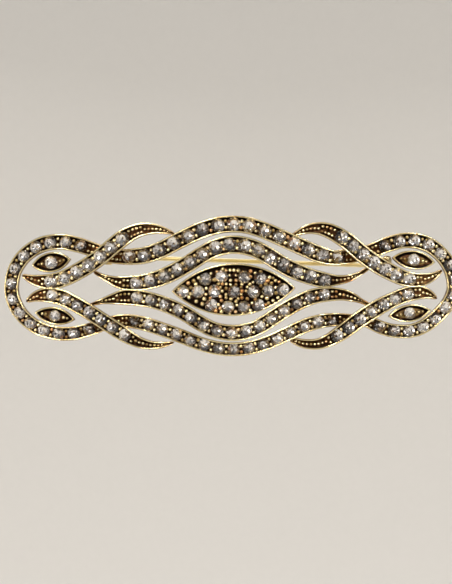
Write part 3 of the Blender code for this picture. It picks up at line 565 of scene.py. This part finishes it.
def set_grains(name, centres, radii, turns, seed, stretch=1.0, warm=0.12):
    """Grains whose domes start at (u, v, w). A share of them, warm, is redder than the rest, and each
    one's wear is the post's wear * its own rubbing."""
    luck = np.random.default_rng(seed)
    points, faces, wear = grain()
    count = len(centres)
    placed, made, _, _ = copies(points, faces, centres, radii * luck.uniform(*GRAIN_SIZES, count), turns,
                                luck.normal(0, GRAIN_TIPPING, (count, 2)), stretch)
    blush = np.where(luck.random(count) < warm, luck.uniform(*GRAIN_BLUSH, count), 0.0)
    rubbed = luck.uniform(*GRAIN_RUBBING, count)
    add_piece(name, bent(placed), made, "frame", [], [GOLD],
              point_values={"wear": np.outer(rubbed, wear).ravel(), "blush": np.repeat(blush, len(points))})


def filler_grains(route, start, stop):
    """Grains from start to stop along a channel with no stones, each (distance, offset, radius): one row
    in the middle where the channel is narrow, and two rows, a quarter of the inner width to each side,
    where it is wide. A grain's radius is the inner width / 2.7 in one row and / 5.2 in two."""
    found, at, sign = [], start, 1 if stop > start else -1
    rows, along, _ = stations(route, CLOSE_STEP)
    while (stop - at) * sign > 0:
        inner = np.interp(at, along, rows[:, 2]) - 4 * RIM_RADIUS
        pair = inner > TWO_ROWS_FROM
        radius = min(FILLER_BIGGEST, inner / 5.2 if pair else inner / 2.7)
        if radius < FILLER_SMALLEST:
            break
        found += [(at, side * inner / 4, radius) for side in ((-1, 1) if pair else (0,))]
        at += sign * 2 * radius * FILLER_SPACING
    return found


for seed, (name, (count, start, end, radius)) in enumerate(ROWS.items()):
    route = ROUTES[name]
    length = row_points(route, [0.0])[3]
    seats = np.linspace(start, length - end, count)
    here, side, turn, _ = row_points(route, (seats[1:] + seats[:-1]) / 2)
    spread = BEAD_SPREAD * radius / USUAL_STONE
    pairs = np.concatenate([here[:, :2] + spread * side, here[:, :2] - spread * side])
    tops = np.tile(here[:, 3] + BEAD_TOP, 2)
    size = np.full(len(pairs), BEAD_RADIUS * (0.6 + 0.4 * radius / USUAL_STONE))
    turns = np.tile(turn + math.pi / 2, 2)
    reach = radius + FILLER_GAP
    ends = filler_grains(route, seats[0] - reach, 0) + filler_grains(route, seats[-1] + reach, length)
    distance, offset, small = np.array(ends).T
    here, side, turn, _ = row_points(route, distance)
    pairs = np.vstack([pairs, here[:, :2] + offset[:, None] * side])
    tops = np.concatenate([tops, here[:, 3] + FILLER_TOP])
    size = np.concatenate([size, small])
    turns = np.concatenate([turns, turn])
    centres = np.column_stack([pairs, tops - size])
    set_grains(name + "_beads", centres, size, turns, 40 + seed, stretch=BEAD_STRETCH)


# ---- The eye in the middle
# A pointed oval dish of cast brass with a thin bright rim. Inside a dark groove its floor swells
# into a low dome, set all over with fifteen stones and many grains of gold.

EYE_LENGTH, EYE_HEIGHT, EYE_V, EYE_TURN = 12.3, 5.2, 0.05, 0.028     # half length, half height
EYE_FLOOR, EYE_DOME, EYE_FLOOR_WEAR, EYE_STEPS = 0.7, 0.45, 0.12, 56
FLOOR_SHARES, FLOOR_INSET = (1.0, 0.94, 0.85, 0.7, 0.5, 0.28, 0.08), 0.2
GROOVE_FROM, GROOVE_WEAR = 0.9, 0.3
EYE_STONE_RADIUS, EYE_GIRDLE = 1.28, 0.8                             # the girdle's height over the dome
EYE_GRAIN_SIZES, EYE_GRAIN_LIFT, EYE_GRAIN_PITCH = (0.34, 0.46), 0.62, 0.78
GRAIN_TO_RIM, GRAIN_TO_STONE, GRAIN_TO_GRAIN = 0.85, 0.12, 0.62      # least distances of the added grains
EYE_STONES = np.array([
    (-10.05, -0.3), (-7.05, -0.35), (-5.6, 2.1), (-2.35, 2.65), (-3.8, -0.2), (-4.4, -3.0),
    (-1.1, -3.35), (0.05, -0.4), (2.1, 2.55), (5.25, 2.3), (4.0, -0.35), (6.8, -0.2), (9.75, 0.1),
    (2.1, -3.4), (4.9, -3.0)])
EYE_GRAINS = np.array([
    (-9.0, 1.35), (-7.9, 1.8), (-6.9, 2.4), (-4.5, 3.25), (-3.3, 3.6), (-2.15, 4.1), (-0.7, 3.9),
    (-0.8, 2.9), (-0.6, 1.9), (-3.8, 2.0), (-8.5, 0.5), (-8.5, -0.75), (-8.8, -1.45), (-7.4, -2.25),
    (-6.2, -2.75), (-5.8, -1.75), (-5.5, -0.85), (-5.4, 0.3), (-7.5, 1.15), (-2.6, 0.5), (-2.6, -1.3),
    (-1.5, -0.9), (-1.5, 0.3), (-0.6, 1.05), (-2.4, -2.1), (-0.5, -1.75), (-3.0, -2.9), (-3.5, -4.1),
    (-2.4, -4.3), (-0.8, -4.6), (0.9, 3.85), (0.5, 2.9), (0.5, 1.9), (0.45, 1.0), (1.5, 0.5),
    (1.5, -0.9), (2.7, -1.75), (0.9, -1.75), (0.6, -3.0), (0.4, -4.3), (1.9, -4.6), (3.35, -4.1),
    (3.65, -2.6), (3.4, 2.6), (3.35, 3.7), (4.3, 3.35), (5.35, 3.6), (3.8, 1.5), (2.7, 0.6), (5.4, 0.8),
    (5.6, -1.3), (6.6, -1.6), (7.8, -2.1), (6.9, -2.6), (8.8, -1.5), (8.4, -0.6), (7.5, 1.35),
    (7.8, 2.35), (8.3, 0.5), (9.0, 1.6), (4.3, -1.9)])


def pointed_oval(half_length, half_height, inset, steps):
    """Two equal arcs that meet in points, moved inwards: for half length a and half height b, each arc's
    radius is (a^2 + b^2) / 2b - inset and its middle lies (a^2 + b^2) / 2b - b past the centre line."""
    radius = (half_length ** 2 + half_height ** 2) / (2 * half_height)
    drop = radius - half_height
    reach = math.acos(min(1.0, drop / (radius - inset)))
    angle = np.linspace(reach, -reach, steps, endpoint=False)
    upper = np.stack([(radius - inset) * np.sin(angle), (radius - inset) * np.cos(angle) - drop], 1)
    return np.concatenate([upper, -upper])


def dish(half_length, half_height, centre, turn, floor, dome, floor_wear, steps):
    """A pointed dish: a band's wall and rim carried round the oval, then a floor that rises inside by
    dome * (1 - s^2), where s is the share of the way out from the middle. Turned, then moved to its
    centre. The floor's two outer rings are a groove that keeps more of the antiquing."""
    inset, height, wear = half_profile().T
    rings = [np.column_stack([pointed_oval(half_length, half_height, a, steps), np.full(2 * steps, h)])
             for a, h in zip(inset[1:-2], height[1:-2])]
    levels = list(wear[1:-2])
    inner = pointed_oval(half_length, half_height, inset[-1] + FLOOR_INSET, steps)
    for share in FLOOR_SHARES:
        rings.append(np.column_stack([share * inner, np.full(2 * steps, floor + dome * (1 - share ** 2))]))
        levels.append(GROOVE_WEAR * floor_wear if share > GROOVE_FROM else floor_wear)
    points = np.vstack(rings)
    c, s = math.cos(turn), math.sin(turn)
    points[:, :2] = points[:, :2] @ np.array([[c, s], [-s, c]]) + centre
    n, p = len(rings), 2 * steps
    ends = [list(range(p))[::-1], list(range((n - 1) * p, n * p))]
    return points, ring_quads(n, p, flipped=True).tolist() + ends, np.repeat(levels, p)


def fill_between(stones, grains, pitch):
    """More grains on a triangular grid of the given pitch, its rows 0.87 of the pitch apart, kept where
    they lie inside the oval and clear of every stone and of the grains already there."""
    u, v = np.meshgrid(np.arange(-12, 12.1, pitch), np.arange(-5, 5.1, pitch * 0.87))
    u = u + pitch / 2 * (np.arange(len(u)) % 2)[:, None]
    spots = np.stack([u.ravel(), v.ravel() + EYE_V], 1)
    radius = (EYE_LENGTH ** 2 + EYE_HEIGHT ** 2) / (2 * EYE_HEIGHT) - GRAIN_TO_RIM
    drop = radius + GRAIN_TO_RIM - EYE_HEIGHT
    inside = np.hypot(spots[:, 0], np.abs(spots[:, 1] - EYE_V) + drop) < radius
    from_stones = np.linalg.norm(spots[:, None] - stones[None], axis=2).min(1)
    from_grains = np.linalg.norm(spots[:, None] - grains[None], axis=2).min(1)
    clear = (from_stones > EYE_STONE_RADIUS + GRAIN_TO_STONE) & (from_grains > GRAIN_TO_GRAIN)
    return np.vstack([grains, spots[inside & clear]])


def dome_height(uv):
    """Height of the eye's floor: EYE_FLOOR + EYE_DOME * (1 - (u / a)^2 - (v / b)^2), a and b being the
    half length and half height, and never under EYE_FLOOR."""
    reach = (uv[:, 0] / EYE_LENGTH) ** 2 + ((uv[:, 1] - EYE_V) / EYE_HEIGHT) ** 2
    return EYE_FLOOR + EYE_DOME * np.clip(1 - reach, 0, 1)


points, faces, wear = dish(EYE_LENGTH, EYE_HEIGHT, (0, EYE_V), EYE_TURN,
                           EYE_FLOOR, EYE_DOME, EYE_FLOOR_WEAR, EYE_STEPS)
add_piece("eye_dish", bent(points), faces, "frame", ["centre_setting"], [GOLD],
          point_values={"wear": wear})
set_stones("eye_brilliants", np.column_stack([EYE_STONES, dome_height(EYE_STONES) + EYE_GIRDLE]),
           np.full(len(EYE_STONES), EYE_STONE_RADIUS),
           [f"pave_stone_{i + 1:02d}" for i in range(len(EYE_STONES))], 20)
seats = fill_between(EYE_STONES, EYE_GRAINS, EYE_GRAIN_PITCH)
luck = np.random.default_rng(5)
sizes = luck.uniform(*EYE_GRAIN_SIZES, len(seats))
set_grains("eye_beads", np.column_stack([seats, dome_height(seats) + EYE_GRAIN_LIFT]), sizes,
           luck.uniform(0, math.tau, len(seats)), 21, warm=0.3)


# ---- The four small pointed settings
# Narrow leaf-shaped dishes that fill the two loops, cast with the bands. Each holds one stone in
# its middle, with a few grains that get smaller towards its points.

LEAVES = {  # half length, half height, middle, turn in degrees
    "upper_left": (4.05, 2.0, (-36.55, 5.55), 9), "upper_right": (4.4, 1.9, (36.1, 6.0), -6),
    "lower_left": (4.15, 1.75, (-35.8, -5.2), -10), "lower_right": (4.4, 1.75, (35.3, -4.65), 8),
}
LEAF_FLOOR, LEAF_DOME, LEAF_FLOOR_WEAR, LEAF_STEPS = 0.7, 0.1, 0.52, 30
LEAF_STONE, LEAF_GIRDLE = 0.67, 1.62      # the stone's radius as a share of the half height
LEAF_GRAINS = ((-2.6, 0.28), (-1.85, 0.36), (1.85, 0.36), (2.6, 0.28))   # place along the leaf, radius
LEAF_GRAIN_HEIGHT = 1.45

for seed, (name, (length, height, middle, degrees)) in enumerate(LEAVES.items()):
    turn = math.radians(degrees)
    points, faces, wear = dish(length, height, middle, turn,
                               LEAF_FLOOR, LEAF_DOME, LEAF_FLOOR_WEAR, LEAF_STEPS)
    add_piece(name + "_leaf_dish", bent(points), faces, "frame", [name + "_navette"],
              [GOLD], point_values={"wear": wear})
    set_stones(name + "_leaf_brilliant", [(*middle, LEAF_GIRDLE)], [LEAF_STONE * height],
               [name + "_navette_stone"], 60 + seed)
    along, size = np.array(LEAF_GRAINS).T
    centres = np.column_stack([middle[0] + along * math.cos(turn), middle[1] + along * math.sin(turn),
                               np.full(len(along), LEAF_GRAIN_HEIGHT)])
    set_grains(name + "_leaf_beads", centres, size, np.full(len(along), turn), 70 + seed, warm=0.0)


# ---- The fastening on the back
# A straight gilt brass wire turns on a rivet in a folded bracket at one end and drops into an open
# ring at the other, where a turning sleeve with a thumb tab locks it. Drawn, stamped and gilded.

GILT_BRIGHT, GILT_DULL = "#fbf1c6", "#dcc68a"
DULL_ROUGHNESS, BRIGHT_ROUGHNESS = 0.44, 0.28
DULL_PATCH_MM, SCUFF_MM, SCUFF_DEPTH_MM = 1.5, 0.05, 0.02
EDGE_ROUNDING_MM, SHARP_DEGREES, DOUBLES_MM = 0.07, 40, 0.002
SOLDER_MIDDLE, SOLDER_RADII, SOLDER_LUMPS = (30.75, 6.3, 0.75), (0.75, 0.6, 0.55), 0.1
SOLDER_RINGS, SOLDER_SPOKES = 9, 18
SOLDER_WEAR, SOLDER_BLUSH = 1.05, 0.1


def gilt_brass():
    """Bright gilding over drawn and stamped brass: smooth, with fine scuffs and duller patches."""
    made, tree, shader, where = new_material("gilt_brass")
    patch = node(tree, "ShaderNodeTexNoise", {"Vector": where},
                 {"Scale": 1 / (DULL_PATCH_MM * MM), "Detail": 4.0})
    mix = node(tree, "ShaderNodeMix", {"Factor": patch.outputs["Fac"]},
               {"A": linear(GILT_DULL), "B": linear(GILT_BRIGHT)}, data_type="RGBA", blend_type="MIX")
    tree.links.new(mix.outputs["Result"], shader.inputs["Base Color"])
    rough = node(tree, "ShaderNodeMapRange", {"Value": patch.outputs["Fac"]},
                 {"To Min": DULL_ROUGHNESS, "To Max": BRIGHT_ROUGHNESS})
    tree.links.new(rough.outputs["Result"], shader.inputs["Roughness"])
    shader.inputs["Metallic"].default_value = 1.0
    scuff = node(tree, "ShaderNodeTexNoise", {"Vector": where},
                 {"Scale": 1 / (SCUFF_MM * MM), "Detail": 2.0})
    bump = node(tree, "ShaderNodeBump", {"Height": scuff.outputs["Fac"]},
                {"Strength": 0.15, "Distance": SCUFF_DEPTH_MM * MM})
    tree.links.new(bump.outputs["Normal"], shader.inputs["Normal"])
    return made


def rounded_copy(name, source, body):
    """A copy of a drawn or stamped part with its doubles merged and its sharp edges rounded over."""
    mesh = bpy.data.objects[source].data.copy()
    mesh.materials.clear()
    mesh.materials.append(GILT)
    piece = bpy.data.objects.new(name, mesh)
    bpy.context.scene.collection.objects.link(piece)
    weld = piece.modifiers.new("weld", "WELD")
    weld.merge_threshold = DOUBLES_MM * MM
    bevel = piece.modifiers.new("rounding", "BEVEL")
    bevel.width, bevel.segments = EDGE_ROUNDING_MM * MM, 2
    bevel.limit_method, bevel.angle_limit = "ANGLE", math.radians(SHARP_DEGREES)
    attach(piece, body)
    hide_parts(source)


def solder_drop():
    """A lumpy ball on a grid of angles, a round it and b up it, then stretched to its three radii: each
    unit direction * (1 + SOLDER_LUMPS * sin 3a * cos b), with a point at each pole."""
    n, p = SOLDER_RINGS, SOLDER_SPOKES
    b, a = np.meshgrid(np.linspace(-math.pi / 2, math.pi / 2, n + 2)[1:-1], np.arange(p) * math.tau / p,
                       indexing="ij")
    ball = np.stack([np.cos(b) * np.cos(a), np.cos(b) * np.sin(a), np.sin(b)], -1)
    ball = ball * (1 + SOLDER_LUMPS * np.sin(3 * a) * np.cos(b))[..., None]
    points = np.vstack([ball.reshape(-1, 3), [(0, 0, -1), (0, 0, 1)]]) * SOLDER_RADII + SOLDER_MIDDLE
    j, k, top = np.arange(p), (np.arange(p) + 1) % p, (n - 1) * p
    caps = np.concatenate([np.stack([k, j, np.full(p, n * p)], 1),
                           np.stack([top + j, top + k, np.full(p, n * p + 1)], 1)])
    return points, ring_quads(n, p, flipped=True).tolist() + caps.tolist()


GILT = gilt_brass()
points, faces = solder_drop()     # at the foot of the catch, showing past the edge of the upper right cross
wear, blush = np.full(len(points), SOLDER_WEAR), np.full(len(points), SOLDER_BLUSH)
add_piece("catch_solder", bent(points), faces, "frame", [], [GOLD],
          point_values={"wear": wear, "blush": blush})
for source, body in (("hinge_bracket", "frame"), ("hinge_rivet", "frame"), ("catch", "frame"),
                     ("clip_wire", "wire"), ("lock_sleeve", "lock")):
    rounded_copy(source + "_stamped", source, body)
